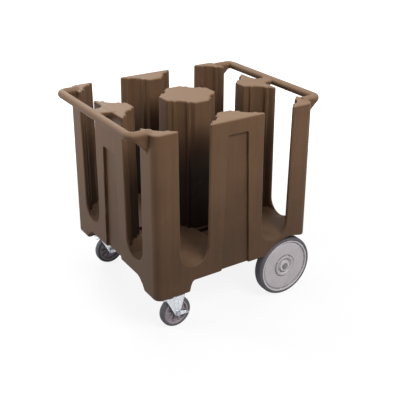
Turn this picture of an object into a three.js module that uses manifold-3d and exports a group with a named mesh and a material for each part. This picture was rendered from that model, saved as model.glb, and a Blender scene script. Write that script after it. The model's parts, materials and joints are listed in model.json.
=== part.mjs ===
// A rolling cart that holds four round columns of stacked plates.
//
// One moulded plastic body stands on two large fixed wheels at the rear (+X) and on two swivel casters
// with brakes at the front (-X). Each end has a handle bar moulded on at the top. Millimetres, +Z up,
// origin on the ground under the middle of the body.

import * as THREE from 'three';
import { mergeVertices } from 'three/addons/utils/BufferGeometryUtils.js';
import Module from 'manifold-3d';

const wasm = await Module();
wasm.setup();

// ---------------------------------------------------------------- driving dimensions

const SEAT = 0.3; // gap between two separate pieces that touch

// plate columns: their size sets the plan of the cart
const COLUMN_R = 168; // inside radius at the top
const COLUMN_WALL = 16; // from the cart's middle plane to a column
const COLUMN_REACH = 2; // a column reaches this far past the outer face, which opens its slots
const COLUMN_X = COLUMN_R + COLUMN_WALL; // column axis from the middle, both ways
const RIB_H = 6; // upright ribs that centre the plates

// moulded body
const BODY_HALF = COLUMN_X + COLUMN_R - COLUMN_REACH; // half of the square plan
const CORNER_R = 30; // upright outer corners
const TOP_Z = 820; // tops of the posts
const EDGE_R = 9; // rounding round the tops of the posts
const SKIRT_R = 6; // rounding along the bottom edge
const MOULD_DRAFT = 0.009; // taper of the posts, sideways per height
const ARRIS = 5; // bevel of the upright slot edges

// rear wheels
const WHEEL_R = 127;
const WHEEL_W = 43;
const WHEEL_FROM_END = 90; // axle from the rear end face
const WHEEL_FROM_SIDE = 34; // middle of a wheel from the side face
const WHEEL_X = BODY_HALF - WHEEL_FROM_END;
const WHEEL_Y = BODY_HALF - WHEEL_FROM_SIDE;
const TYRE_T = 14; // tread thickness
const TYRE_SHOULDER = 8;
const WELL_CLEARANCE = 15;
const WELL_ROOF = 13; // plastic between the top of a wheel well and the plate rests
const WELL_REAR_Z = 2 * WHEEL_R + 4;
const AXLE_R = 8;
const BUSH_T = 4.5;
const HUB_R = AXLE_R + 13;
const HUB_OUT = 6; // hub stands out of the rim on the inner side
const HUB_RING_R = HUB_R + 19;
const DISC_T = 14;
const DISC_INSET = 4; // outer face of the disc behind the tyre's side
const WASHER_T = 2;
const WASHER_R = AXLE_R + 7;
const CAP_R = AXLE_R + 4;
const CAP_H = 9;

// caster wheels, forks and plates
const CASTER_R = 63.5;
const CASTER_W = 30;
const TREAD_T = 12;
const TRAIL = 33; // axle behind the swivel axis
const CROWN_GAP = 7; // between the wheel and the crown over it
const CROWN_Z = 2 * CASTER_R + CROWN_GAP; // underside of the fork's crown
const RACE_Z = CROWN_Z + 12; // top of the fork's round seat
const RACE_R = 30;
const CROWN_R = RACE_R + 3;
const FORK_T = 3;
const FORK_GAP = 3; // between the wheel and a fork leg
const FORK_FRONT = CROWN_R; // crown ahead of the swivel axis
const FORK_REAR = TRAIL + 35; // and behind it
const LEG_FRONT = FORK_FRONT - 16; // top of a leg ahead of the swivel axis
const FORK_END_R = 11.5;
const BOLT_HEAD_R = 7.5;
const BOLT_HEAD_H = 5.5;
const BOLT_LENGTH = 22;
const PLATE_BOLT_X = RACE_R + BOLT_HEAD_R;
const PLATE_BOLT_Y = RACE_R - BOLT_HEAD_R;
const PLATE_BOLT_R = 3.7;
const PLATE_LENGTH = 2 * PLATE_BOLT_X + 19;
const PLATE_WIDTH = 2 * PLATE_BOLT_Y + 17;
const PLATE_T = 4;
const PLATE_INSET = 33; // edge of a plate from the end face and from the side face
const CASTER_X = PLATE_INSET + PLATE_LENGTH / 2 - BODY_HALF; // swivel axis
const CASTER_Y = BODY_HALF - PLATE_INSET - PLATE_WIDTH / 2;
const KINGPIN_R = 6;
const HEX_R = KINGPIN_R + 4;
const HEX_H = 7;
const CASTER_AXLE_R = 5.5;
const SLEEVE_R = CASTER_AXLE_R + 3;

// caster brakes: a lever beside each fork, on the axle
const LEVER_T = 3;
const LEVER_EYE_R = HEX_R + 1.5;
const LEVER_REACH = 43; // middle of the lever's round end, from the axle
const LEVER_FALL = 7; // and below it
const LEVER_END_R = 5;
const TREAD_LENGTH = 14; // plate bent out at the lever's end
const TREAD_OUT = 8;

// levels that the wheels and casters set
const FOOT_Z = RACE_Z + 20; // underside of the feet, on the caster plates
const FOOT_HEIGHT = 47;
const SKIRT_Z = FOOT_Z + FOOT_HEIGHT; // underside of the base
const PAD_Z = 2 * WHEEL_R + WELL_CLEARANCE + WELL_ROOF; // plate rests

// side slots and the passages between columns
const SLOT_HALF = 66; // half width of a side slot at the top
const SLOT_BOTTOM_Z = PAD_Z - 5;
const SLOT_SLOPE = 0.1; // the slot floor rises inward
const CURB_T = 50; // thickness of the low wall under a slot
const PASSAGE_X = COLUMN_X - 3; // middle of the passage between centre and side posts
const PASSAGE_HALF = 70;
const PAD_R = COLUMN_R - 4;
const GROOVE_DEPTH = 18; // drain groove between two plate rests
const GROOVE_EDGE = 6;

// recessed panels of the four middle posts
const PANEL_DEPTH = 11;
const PANEL_HALF_BOTTOM = 63;
const PANEL_SIDE = { top: TOP_Z - 58, half: 44 };
const PANEL_END = { top: TOP_Z - 165, half: 49 };

// feet over the casters
const FOOT_LENGTH = PLATE_LENGTH + 53; // along the sides, at the bottom
const FOOT_WIDTH = PLATE_WIDTH + 39; // along the end, at the bottom
const FOOT_FLARE_X = 17; // what each grows by up to the skirt
const FOOT_FLARE_Y = 54;

// handles
const HANDLE_OUT = 60; // bar axis from the end face
const HANDLE_Z = TOP_Z - 7;
const HANDLE_R = 17;
const HANDLE_ARM_Y = BODY_HALF - 53;
const HANDLE_ELBOW = 24;
const GUSSET_DROP = 46;
const GUSSET_TIP_HALF = 8;
const BRIDGE_HALF = 28; // middle support of the bar
const BRIDGE_ROOT_HALF = 44;
const BRIDGE_DROP = 44;

// axle hangers under the base
const HANGER_SPAN = 34; // between the outsides of its two cheeks
const HANGER_GAP = 19.5; // from the wheel's hub
const HANGER_Y = WHEEL_Y - WHEEL_W / 2 - HUB_OUT - HANGER_GAP - HANGER_SPAN / 2;
const HANGER_T = 4;
const HANGER_FOOT_R = AXLE_R + 12; // round end of a cheek about the axle
const HANGER_CHEEK_TOP = 76;
const HANGER_BOLT_X = HANGER_CHEEK_TOP / 2 + 12;
const HANGER_BOLT_Y = BOLT_HEAD_R + 1;
const HANGER_FLANGE = 2 * HANGER_BOLT_X + 22; // length of its bolted flange
const BOLT_R = 4;

const ROUND = 48; // facets round a large wheel
const MEDIUM = 30;
const SMALL = 14;
const HEX = 6;

// ---------------------------------------------------------------- finishes

function finish(color, roughness, metalness) {
  return { color, roughness, metalness };
}

const FINISH = {
  moulding: finish(0x6a5546, 0.62, 0),
  tyre: finish(0x4b4b50, 0.8, 0),
  wheelDisc: finish(0xb9b3b5, 0.5, 0),
  casterCore: finish(0x8d898c, 0.5, 0),
  zinc: finish(0xc9ced4, 0.28, 0.9),
  steel: finish(0x9a9ca0, 0.4, 0.85),
  nylon: finish(0xd9d6cc, 0.5, 0),
};

const cart = new THREE.Group();

/** Adds a named piece to a group. */
function addPiece(parent, name, geometry, look) {
  const mesh = new THREE.Mesh(geometry, new THREE.MeshStandardMaterial(look));
  mesh.name = name;
  parent.add(mesh);
  return mesh;
}

// ---------------------------------------------------------------- solids

/** A closed geometry as a solid for joining and cutting. */
function toSolid(geometry) {
  const bare = new THREE.BufferGeometry();
  bare.setAttribute('position', geometry.getAttribute('position'));
  if (geometry.index) bare.setIndex(geometry.index);
  const merged = mergeVertices(bare, 1e-4);
  const vertProperties = new Float32Array(merged.getAttribute('position').array);
  const triVerts = new Uint32Array(merged.index.array);
  return new wasm.Manifold(new wasm.Mesh({ numProp: 3, vertProperties, triVerts }));
}

/** A solid as a geometry. */
function toGeometry(solid) {
  const mesh = solid.getMesh();
  const geometry = new THREE.BufferGeometry();
  geometry.setAttribute('position', new THREE.BufferAttribute(new Float32Array(mesh.vertProperties), 3));
  geometry.setIndex(new THREE.BufferAttribute(new Uint32Array(mesh.triVerts), 1));
  geometry.computeVertexNormals();
  return geometry;
}

function joined(geometries) {
  return geometries.map(toSolid).reduce((whole, solid) => whole.add(solid));
}

function cutFrom(solid, geometries) {
  return geometries.map(toSolid).reduce((whole, cutter) => whole.subtract(cutter), solid);
}

/** Joins sections with equal point counts; place(i, point) gives a section's point in space. */
function loft(sections, place) {
  const count = sections[0].length;
  const last = sections.length - 1;
  const positions = [];
  sections.forEach((section, i) => {
    section.forEach((point) => positions.push(...place(i, point).toArray()));
  });
  const index = [];
  for (let i = 0; i < last; i += 1) {
    for (let j = 0; j < count; j += 1) {
      const next = (j + 1) % count;
      const a = i * count + j;
      const b = i * count + next;
      index.push(a, b, b + count, a, b + count, a + count);
    }
  }
  THREE.ShapeUtils.triangulateShape(sections[0], []).forEach(([a, b, c]) => index.push(c, b, a));
  const top = last * count;
  THREE.ShapeUtils.triangulateShape(sections[last], []).forEach(([a, b, c]) => {
    index.push(top + a, top + b, top + c);
  });
  const geometry = new THREE.BufferGeometry();
  geometry.setAttribute('position', new THREE.Float32BufferAttribute(positions, 3));
  geometry.setIndex(index);
  return geometry;
}

/** Horizontal sections stacked at the given heights. */
function stack(sections, heights) {
  return loft(sections, (i, point) => new THREE.Vector3(point.x, point.y, heights[i]));
}

function box(x0, x1, y0, y1, z0, z1) {
  const geometry = new THREE.BoxGeometry(x1 - x0, y1 - y0, z1 - z0);
  geometry.translate((x0 + x1) / 2, (y0 + y1) / 2, (z0 + z1) / 2);
  return geometry;
}

/** A round bar along Y, or up when standing. */
function bar(radius, from, to, sides, standing = false) {
  const geometry = new THREE.CylinderGeometry(radius, radius, to - from, sides);
  geometry.translate(0, (from + to) / 2, 0);
  if (standing) geometry.rotateX(Math.PI / 2);
  return geometry;
}

/** A ring or wheel about the Y axis from a closed profile of (radius, y) points. */
function turned(profile, sides) {
  const points = profile.map(([radius, y]) => new THREE.Vector2(radius, y));
  points.push(points[0].clone());
  return new THREE.LatheGeometry(points, sides);
}

function tube(inner, outer, from, to, sides) {
  return turned([[inner, from], [outer, from], [outer, to], [inner, to]], sides);
}

/** A profile drawn in X and Z, thickened along Y from y0 to y1. */
function sideProfile(shape, y0, y1, segments = 8) {
  const settings = { depth: y1 - y0, bevelEnabled: false, curveSegments: segments };
  const geometry = new THREE.ExtrudeGeometry(shape, settings);
  geometry.rotateX(Math.PI / 2);
  geometry.translate(0, y1, 0);
  return geometry;
}

/** Four copies, a quarter turn apart about the middle of the cart. */
function fourWays(geometry) {
  return [0, 1, 2, 3].map((turn) => geometry.clone().rotateZ((turn * Math.PI) / 2));
}

function arcPoints(cx, cy, radius, from, to, steps) {
  const points = [];
  for (let i = 0; i <= steps; i += 1) {
    const angle = from + ((to - from) * i) / steps;
    points.push(new THREE.Vector2(cx + radius * Math.cos(angle), cy + radius * Math.sin(angle)));
  }
  return points;
}

/** Places of four bolts round a mount, in the mount's own frame. */
function fourBolts(alongX, alongY) {
  return [[-1, -1], [1, -1], [1, 1], [-1, 1]].map(([x, y]) => [x * alongX, y * alongY]);
}

const hangerBolts = fourBolts(HANGER_BOLT_X, HANGER_BOLT_Y);
const plateBolts = fourBolts(PLATE_BOLT_X, PLATE_BOLT_Y);

// ---------------------------------------------------------------- moulded body

const COLUMN_STEPS = 12; // facets of one curved post side
const RIB_AT = [0.25, 0.75]; // where the ribs stand along a curved side
const RIB_SPREAD = 0.084;

/** One curved side of a post: part of the column's circle with two upright ribs. */
function columnSide(cx, cy, radius, from, to) {
  return arcPoints(cx, cy, 1, from, to, COLUMN_STEPS).map((unit, i) => {
    const along = i / COLUMN_STEPS;
    const near = Math.min(...RIB_AT.map((at) => Math.abs(along - at)));
    const rib = RIB_H * Math.max(0, 1 - near / RIB_SPREAD);
    const direction = new THREE.Vector2(unit.x - cx, unit.y - cy);
    return new THREE.Vector2(cx, cy).addScaledVector(direction, radius - rib);
  });
}

/** Angle, from a column's axis, where its circle meets a plane at the given distance. */
function meets(distance, radius) {
  return Math.acos(distance / radius);
}

/** Angle where a column's circle ends at a side slot, kept inside the outer face. */
function slotBend({ outer, radius, slot }) {
  const reach = outer - ARRIS - SEAT - COLUMN_X;
  return Math.min(meets(slot, radius), Math.asin(reach / radius));
}

/** The sizes of a post section at one level: all its sides moved in by inset. */
function postSizes(inset, grow) {
  const shift = inset - grow;
  return {
    outer: BODY_HALF - inset,
    corner: Math.max(CORNER_R - inset, ARRIS),
    radius: COLUMN_R + shift,
    slot: SLOT_HALF + shift,
    tip: PASSAGE_X - PASSAGE_HALF - shift,
    apex: PASSAGE_X + PASSAGE_HALF + shift,
  };
}

function cornerPostSection(sizes) {
  const { outer, corner, radius } = sizes;
  const bend = slotBend(sizes);
  const edge = COLUMN_X + radius * Math.cos(bend);
  return [
    new THREE.Vector2(edge + ARRIS, outer),
    new THREE.Vector2(edge, outer - ARRIS),
    ...columnSide(COLUMN_X, COLUMN_X, radius, bend, Math.PI / 2 - bend),
    new THREE.Vector2(outer - ARRIS, edge),
    new THREE.Vector2(outer, edge + ARRIS),
    ...arcPoints(outer - corner, outer - corner, corner, 0, Math.PI / 2, 6),
  ];
}

function middlePostSection(sizes) {
  const { outer, radius, apex } = sizes;
  const outerBend = slotBend(sizes);
  const edge = COLUMN_X - radius * Math.cos(outerBend);
  const innerBend = Math.asin((apex - COLUMN_X) / radius);
  const right = columnSide(COLUMN_X, COLUMN_X, radius, Math.PI - innerBend, Math.PI - outerBend);
  const left = right.map((point) => new THREE.Vector2(-point.x, point.y)).reverse();
  return [
    new THREE.Vector2(-edge + ARRIS, outer),
    new THREE.Vector2(-edge, outer - ARRIS),
    ...left,
    ...right,
    new THREE.Vector2(edge, outer - ARRIS),
    new THREE.Vector2(edge - ARRIS, outer),
  ];
}

function centrePostSection({ radius, tip }) {
  const bend = meets(COLUMN_X - tip, radius);
  const side = columnSide(COLUMN_X, COLUMN_X, radius, Math.PI + bend, Math.PI * 1.5 - bend);
  return [0, 1, 2, 3].flatMap((turn) => {
    const middle = new THREE.Vector2(0, 0);
    return side.map((point) => point.clone().rotateAround(middle, (turn * Math.PI) / 2));
  });
}

/** A post from inside the base up to its rounded top. */
function post(section) {
  const rootZ = PAD_Z - GROOVE_DEPTH - SKIRT_R;
  const rounding = [0, 45, 90].map((angle) => THREE.MathUtils.degToRad(angle));
  const levels = [{ z: rootZ, inset: 0 }];
  rounding.forEach((angle) => {
    levels.push({ z: TOP_Z - EDGE_R * (1 - Math.sin(angle)), inset: EDGE_R * (1 - Math.cos(angle)) });
  });
  const sections = levels.map(({ z, inset }) => section(postSizes(inset, (TOP_Z - z) * MOULD_DRAFT)));
  return stack(sections, levels.map(({ z }) => z));
}

function roundedRectangle(x0, x1, y0, y1, radius, steps) {
  const quarter = Math.PI / 2;
  return [
    ...arcPoints(x1 - radius, y0 + radius, radius, -quarter, 0, steps),
    ...arcPoints(x1 - radius, y1 - radius, radius, 0, quarter, steps),
    ...arcPoints(x0 + radius, y1 - radius, radius, quarter, 2 * quarter, steps),
    ...arcPoints(x0 + radius, y0 + radius, radius, 2 * quarter, 3 * quarter, steps),
  ];
}

/** The square base, softly rounded along its lower edge. */
function basePlinth() {
  const square = (inset) => {
    const half = BODY_HALF - inset;
    return roundedRectangle(-half, half, -half, half, CORNER_R - inset, 6);
  };
  return stack([square(SKIRT_R), square(0), square(0)], [SKIRT_Z, SKIRT_Z + SKIRT_R, PAD_Z]);
}

/** The foot over a caster: narrower downward, with a curved step up to the skirt. */
function foot(side) {
  const levels = [0, SKIRT_R, FOOT_HEIGHT * 0.4, FOOT_HEIGHT * 0.87, FOOT_HEIGHT + SKIRT_R];
  const height = levels[levels.length - 1];
  const sections = levels.map((level, i) => {
    const inset = i === 0 ? SKIRT_R : 0;
    const flare = (level / height) ** 2;
    const x1 = -BODY_HALF + FOOT_LENGTH + FOOT_FLARE_X * flare - inset;
    const width = FOOT_WIDTH + FOOT_FLARE_Y * flare - inset;
    const near = (BODY_HALF - width) * side;
    const far = (BODY_HALF - inset) * side;
    return roundedRectangle(-BODY_HALF + inset, x1, Math.min(near, far), Math.max(near, far), 22, 4);
  });
  return stack(sections, levels.map((level) => FOOT_Z + level));
}

/** Half width of a slot where its round bottom begins, level with the tapered posts. */
function slotBottomHalf() {
  const full = SLOT_HALF - (TOP_Z - SLOT_BOTTOM_Z) * MOULD_DRAFT;
  return full / (1 - MOULD_DRAFT);
}

/** The U-bottomed cut of a side slot, drawn at a column on the -Y side. */
function slotCutter(columnX) {
  const half = slotBottomHalf();
  const centreZ = SLOT_BOTTOM_Z + half;
  const shape = new THREE.Shape();
  shape.moveTo(half, centreZ + ARRIS);
  shape.lineTo(-half, centreZ + ARRIS);
  shape.lineTo(-half, centreZ);
  shape.absarc(0, centreZ, half, Math.PI, Math.PI * 2, false);
  const geometry = sideProfile(shape, -BODY_HALF - ARRIS, -BODY_HALF + CURB_T + ARRIS, 10);
  const position = geometry.getAttribute('position');
  for (let i = 0; i < position.count; i += 1) {
    position.setZ(i, position.getZ(i) + SLOT_SLOPE * (position.getY(i) + BODY_HALF));
  }
  geometry.translate(columnX, 0, 0);
  return geometry;
}

/** The low wall that closes a side slot at the bottom; its outer face leans in by the bevel. */
function curb(columnX) {
  const half = slotBottomHalf();
  const plan = (outer) => [
    new THREE.Vector2(columnX - half - 1, -outer),
    new THREE.Vector2(columnX + half + 1, -outer),
    new THREE.Vector2(columnX + half + 1, -BODY_HALF + CURB_T),
    new THREE.Vector2(columnX - half - 1, -BODY_HALF + CURB_T),
  ];
  const wall = stack([plan(BODY_HALF - 0.2), plan(BODY_HALF - ARRIS - 0.2)],
    [PAD_Z - SKIRT_R, SLOT_BOTTOM_Z + half]);
  const column = bar(COLUMN_R, PAD_Z + 0.5, TOP_Z, ROUND, true);
  column.translate(columnX, -COLUMN_X, 0);
  return toGeometry(cutFrom(toSolid(wall), [column]));
}

/** The drain groove in the passage on the -Y side, between two round plate rests. */
function drainGroove() {
  const half = COLUMN_X - PAD_R / 2;
  const near = PASSAGE_X - PASSAGE_HALF + GROOVE_EDGE;
  const far = PASSAGE_X + PASSAGE_HALF - GROOVE_EDGE;
  const cut = box(-half, half, -far, -near, PAD_Z - GROOVE_DEPTH, PAD_Z + GROOVE_DEPTH);
  const pads = [-COLUMN_X, COLUMN_X].map((x) => {
    const pad = bar(PAD_R, 0, TOP_Z, ROUND, true);
    pad.translate(x, -COLUMN_X, 0);
    return pad;
  });
  return toGeometry(cutFrom(toSolid(cut), pads));
}

/** The recess in the outer face of a middle post, drawn on the -Y side and open at the skirt. */
function panelCutter({ top, half }) {
  const shape = new THREE.Shape();
  const slope = (PANEL_HALF_BOTTOM - half) / (top - SKIRT_Z);
  const low = SKIRT_Z - SKIRT_R;
  const lowHalf = PANEL_HALF_BOTTOM + slope * SKIRT_R;
  shape.moveTo(-lowHalf, low);
  shape.lineTo(lowHalf, low);
  shape.lineTo(half, top);
  shape.lineTo(-half, top);
  shape.closePath();
  return sideProfile(shape, -BODY_HALF - PANEL_DEPTH, -BODY_HALF + PANEL_DEPTH);
}

/** The space for a rear wheel, open to the side, below and behind. */
function wheelWell(side) {
  const inner = WHEEL_Y - WHEEL_W / 2 - WELL_CLEARANCE;
  const outer = BODY_HALF + ARRIS;
  const [from, to] = side > 0 ? [inner, outer] : [-outer, -inner];
  const arch = bar(WHEEL_R + WELL_CLEARANCE, from, to, ROUND);
  arch.translate(WHEEL_X, 0, WHEEL_R);
  const rear = box(WHEEL_X, BODY_HALF + ARRIS, from, to, 0, WELL_REAR_Z);
  return [arch, rear];
}

const HANDLE_SIDES = 14;

/** The handle bar and its two arms in one sweep, at the +X end. */
function handleBar() {
  const barX = BODY_HALF + HANDLE_OUT;
  const rootX = BODY_HALF - EDGE_R * 2;
  const turn = Math.PI / 2;
  const bendX = barX - HANDLE_ELBOW;
  const bendY = HANDLE_ARM_Y - HANDLE_ELBOW;
  const path = [
    new THREE.Vector2(rootX, -HANDLE_ARM_Y),
    ...arcPoints(bendX, -bendY, HANDLE_ELBOW, -turn, 0, 6),
    ...arcPoints(bendX, bendY, HANDLE_ELBOW, 0, turn, 6),
    new THREE.Vector2(rootX, HANDLE_ARM_Y),
  ];
  const circle = arcPoints(0, 0, HANDLE_R, 0, Math.PI * 2, HANDLE_SIDES).slice(0, HANDLE_SIDES);
  const sections = path.map(() => circle);
  return loft(sections, (i, point) => {
    const before = path[Math.max(i - 1, 0)];
    const after = path[Math.min(i + 1, path.length - 1)];
    const along = after.clone().sub(before).normalize();
    const across = new THREE.Vector2(-along.y, along.x);
    const place = path[i].clone().addScaledVector(across, point.x);
    return new THREE.Vector3(place.x, place.y, HANDLE_Z + point.y);
  });
}

/** A web under an arm of the handle that tapers down to the end face, at the +X end. */
function gusset(y, topHalf, tipHalf, drop) {
  const root = BODY_HALF - ARRIS;
  const reach = BODY_HALF + HANDLE_OUT - HANDLE_R / 3;
  const tip = BODY_HALF + 2;
  const topZ = HANDLE_Z + HANDLE_R / 4;
  const slab = (x1, half) => [
    new THREE.Vector2(root, y - half),
    new THREE.Vector2(x1, y - half),
    new THREE.Vector2(x1, y + half),
    new THREE.Vector2(root, y + half),
  ];
  const sections = [slab(tip, tipHalf), slab(reach, topHalf), slab(reach, topHalf)];
  return stack(sections, [HANDLE_Z - HANDLE_R - drop, HANDLE_Z - HANDLE_R / 3, topZ]);
}

/** The middle support of the bar, flared toward the post, at the +X end. */
function bridge() {
  const root = BODY_HALF - EDGE_R * 2;
  const reach = BODY_HALF + HANDLE_OUT - HANDLE_R / 4;
  const waist = BODY_HALF + HANDLE_OUT / 2;
  const plan = [
    new THREE.Vector2(root, -BRIDGE_ROOT_HALF),
    new THREE.Vector2(BODY_HALF, -BRIDGE_ROOT_HALF),
    new THREE.Vector2(waist, -BRIDGE_HALF),
    new THREE.Vector2(reach, -BRIDGE_HALF),
    new THREE.Vector2(reach, BRIDGE_HALF),
    new THREE.Vector2(waist, BRIDGE_HALF),
    new THREE.Vector2(BODY_HALF, BRIDGE_ROOT_HALF),
    new THREE.Vector2(root, BRIDGE_ROOT_HALF),
  ];
  return stack([plan, plan], [HANDLE_Z - HANDLE_R / 2, HANDLE_Z + HANDLE_R / 3]);
}

function handle() {
  const topHalf = HANDLE_R - 3;
  const arms = [-1, 1].map((side) => gusset(side * HANDLE_ARM_Y, topHalf, GUSSET_TIP_HALF, GUSSET_DROP));
  const middle = gusset(0, BRIDGE_HALF - 2, BRIDGE_HALF / 2, BRIDGE_DROP);
  return toGeometry(joined([handleBar(), bridge(), middle, ...arms]));
}

/** Blind holes for the bolts of one axle hanger and one caster plate. */
function mountHoles(side) {
  const hole = (radius, x, y, z) => {
    return bar(radius + SEAT, z - 1, z + BOLT_LENGTH, SMALL / 2, true).translate(x, side * y, 0);
  };
  const hangerHoles = hangerBolts.map(([x, y]) => hole(BOLT_R, WHEEL_X + x, HANGER_Y + y, SKIRT_Z));
  const plateHoles = plateBolts.map(([x, y]) => hole(PLATE_BOLT_R, CASTER_X + x, CASTER_Y + y, FOOT_Z));
  return [...hangerHoles, ...plateHoles];
}

function mouldedBody() {
  const columns = [-COLUMN_X, COLUMN_X];
  const outerPosts = [cornerPostSection, middlePostSection].flatMap((section) => fourWays(post(section)));
  const posts = [...outerPosts, post(centrePostSection)];
  const curbs = columns.flatMap((x) => fourWays(curb(x)));
  const feet = [-1, 1].map(foot);
  const handles = [0, Math.PI].map((angle) => handle().rotateZ(angle));
  const slots = columns.flatMap((x) => fourWays(slotCutter(x)));
  const grooves = fourWays(drainGroove());
  const panels = [PANEL_SIDE, PANEL_END].flatMap((panel, turn) => {
    return [turn, turn + 2].map((quarters) => panelCutter(panel).rotateZ((quarters * Math.PI) / 2));
  });
  const wells = [-1, 1].flatMap(wheelWell);
  const holes = [-1, 1].flatMap(mountHoles);
  const solid = joined([basePlinth(), ...curbs, ...feet]);
  const grooved = cutFrom(solid, grooves);
  const standing = grooved.add(joined([...posts, ...handles]));
  return toGeometry(cutFrom(standing, [...slots, ...panels, ...wells, ...holes]));
}

addPiece(cart, 'moulded_body', mouldedBody(), FINISH.moulding);

// ---------------------------------------------------------------- rear axle and wheels

const wheelOuter = WHEEL_W / 2;
const hubInner = -WHEEL_W / 2 - HUB_OUT; // hub ends, measured along the axle from the wheel's middle
const hubOuter = WHEEL_W / 2 - DISC_INSET;
const axleEnd = WHEEL_Y + wheelOuter + CAP_H / 3;

const rearAxle = bar(AXLE_R, -axleEnd, axleEnd, SMALL).translate(WHEEL_X, 0, WHEEL_R);
addPiece(cart, 'rear_axle', rearAxle, FINISH.steel);

/** Tyre profile about Y, with soft shoulders. */
function tyre(radius, thickness, width, shoulder, sides) {
  const half = width / 2;
  const inner = radius - thickness;
  const profile = [
    [inner + SEAT, -half],
    [radius - shoulder, -half],
    [radius - shoulder * 0.3, -half + shoulder * 0.3],
    [radius, -half + shoulder],
    [radius, half - shoulder],
    [radius - shoulder * 0.3, half - shoulder * 0.3],
    [radius - shoulder, half],
    [inner + SEAT, half],
  ];
  return turned(profile, sides);
}

/** The solid disc wheel: rim, sunk disc, stepped hub and bore; +Y is the outer side. */
function wheelDisc() {
  const rim = WHEEL_R - TYRE_T;
  const half = WHEEL_W / 2;
  const face = half - DISC_INSET;
  const bore = AXLE_R + BUSH_T + SEAT;
  return turned([
    [bore, hubInner],
    [HUB_R, hubInner],
    [HUB_R + 3, face - DISC_T],
    [rim - 10, face - DISC_T],
    [rim - 8, -half + 2],
    [rim, -half + 2],
    [rim, half - 1],
    [rim - 7, half - 1],
    [rim - 10, face],
    [HUB_RING_R + 3, face],
    [HUB_RING_R, face + 3],
    [HUB_RING_R - 6, face + 3],
    [HUB_RING_R - 9, face],
    [HUB_R + 2, face],
    [HUB_R - 2, hubOuter + 3],
    [bore, hubOuter + 3],
  ], ROUND);
}

/** One rear wheel with its bush; side is +1 or -1 along Y. */
function rearWheel(side, name) {
  const wheel = new THREE.Group();
  wheel.position.set(WHEEL_X, side * WHEEL_Y, WHEEL_R);
  wheel.rotation.z = side > 0 ? 0 : Math.PI;
  const hubFace = hubOuter + 3;
  addPiece(wheel, `${name}_disc`, wheelDisc(), FINISH.wheelDisc);
  addPiece(wheel, `${name}_tyre`, tyre(WHEEL_R, TYRE_T, WHEEL_W, TYRE_SHOULDER, ROUND), FINISH.tyre);
  addPiece(wheel, `${name}_bush`,
    tube(AXLE_R + SEAT, AXLE_R + BUSH_T, hubInner, hubFace, SMALL), FINISH.nylon);
  addPiece(wheel, `${name}_inner_washer`,
    tube(AXLE_R + SEAT, WASHER_R, hubInner - SEAT - WASHER_T, hubInner - SEAT, SMALL), FINISH.zinc);
  const capBase = hubFace + SEAT;
  const end = axleEnd - WHEEL_Y;
  addPiece(wheel, `${name}_axle_cap`, turned([
    [0, end + SEAT],
    [AXLE_R + SEAT, end + SEAT],
    [AXLE_R + SEAT, capBase],
    [CAP_R, capBase],
    [CAP_R, capBase + 2],
    [AXLE_R + 2, end + 2],
    [AXLE_R - 2, end + 3.5],
    [0, end + 3.5],
  ], SMALL), FINISH.zinc);
  cart.add(wheel);
}

rearWheel(-1, 'rear_wheel_near');
rearWheel(1, 'rear_wheel_far');

/** The outline of a fork or hanger cheek: a straight top edge that tapers to a round end. */
function taperedCheek(left, right, topZ, endX, endZ, endR) {
  const shape = new THREE.Shape();
  const tangent = (x, z, sign) => {
    const reach = Math.hypot(x - endX, z - endZ);
    const toward = Math.atan2(z - endZ, x - endX);
    return toward + sign * Math.acos(endR / reach);
  };
  const rightAngle = tangent(right, topZ, -1);
  const leftAngle = tangent(left, topZ, 1);
  shape.moveTo(left, topZ);
  shape.lineTo(endX + endR * Math.cos(leftAngle), endZ + endR * Math.sin(leftAngle));
  shape.absarc(endX, endZ, endR, leftAngle, rightAngle + Math.PI * 2, false);
  shape.lineTo(right, topZ);
  shape.closePath();
  return shape;
}

/** A pressed steel hanger that carries the axle under the base. */
function hanger(side, name) {
  const half = HANGER_SPAN / 2;
  const topZ = SKIRT_Z - SEAT;
  const shape = taperedCheek(-HANGER_CHEEK_TOP / 2, HANGER_CHEEK_TOP / 2, topZ - HANGER_T / 2, 0, WHEEL_R,
    HANGER_FOOT_R);
  const cheeks = [sideProfile(shape, -half, -half + HANGER_T), sideProfile(shape, half - HANGER_T, half)];
  const flange = box(-HANGER_FLANGE / 2, HANGER_FLANGE / 2, -half, half, topZ - HANGER_T, topZ);
  const holes = [-1, 1].flatMap((x) => [-1, 1].map((y) => {
    const hole = bar(BOLT_R + SEAT, topZ - HANGER_T - 1, topZ + 1, SMALL, true);
    return hole.translate(x * HANGER_BOLT_X, y * HANGER_BOLT_Y, 0);
  }));
  const bore = bar(AXLE_R + SEAT, -half - 1, half + 1, SMALL).translate(0, 0, WHEEL_R);
  const solid = cutFrom(joined([flange, ...cheeks]), [bore, ...holes]);
  const group = new THREE.Group();
  group.position.set(WHEEL_X, side * HANGER_Y, 0);
  addPiece(group, name, toGeometry(solid), FINISH.zinc);
  cart.add(group);
}

/** A hexagon bolt standing upward through a mount; its head hangs below z = 0. */
function mountBolt(radius, headRadius, headHeight, length) {
  const head = bar(headRadius, -headHeight, 0, HEX, true);
  return toGeometry(joined([head, bar(radius, -headHeight / 2, length, SMALL / 2, true)]));
}

for (const [side, name] of [[-1, 'axle_hanger_near'], [1, 'axle_hanger_far']]) {
  hanger(side, name);
  hangerBolts.forEach(([x, y], i) => {
    const bolt = mountBolt(BOLT_R, BOLT_HEAD_R, BOLT_HEAD_H, BOLT_LENGTH);
    bolt.translate(WHEEL_X + x, side * HANGER_Y + y, SKIRT_Z - HANGER_T - 2 * SEAT);
    addPiece(cart, `${name}_bolt_${i + 1}`, bolt, FINISH.steel);
  });
}

// ---------------------------------------------------------------- casters

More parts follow.
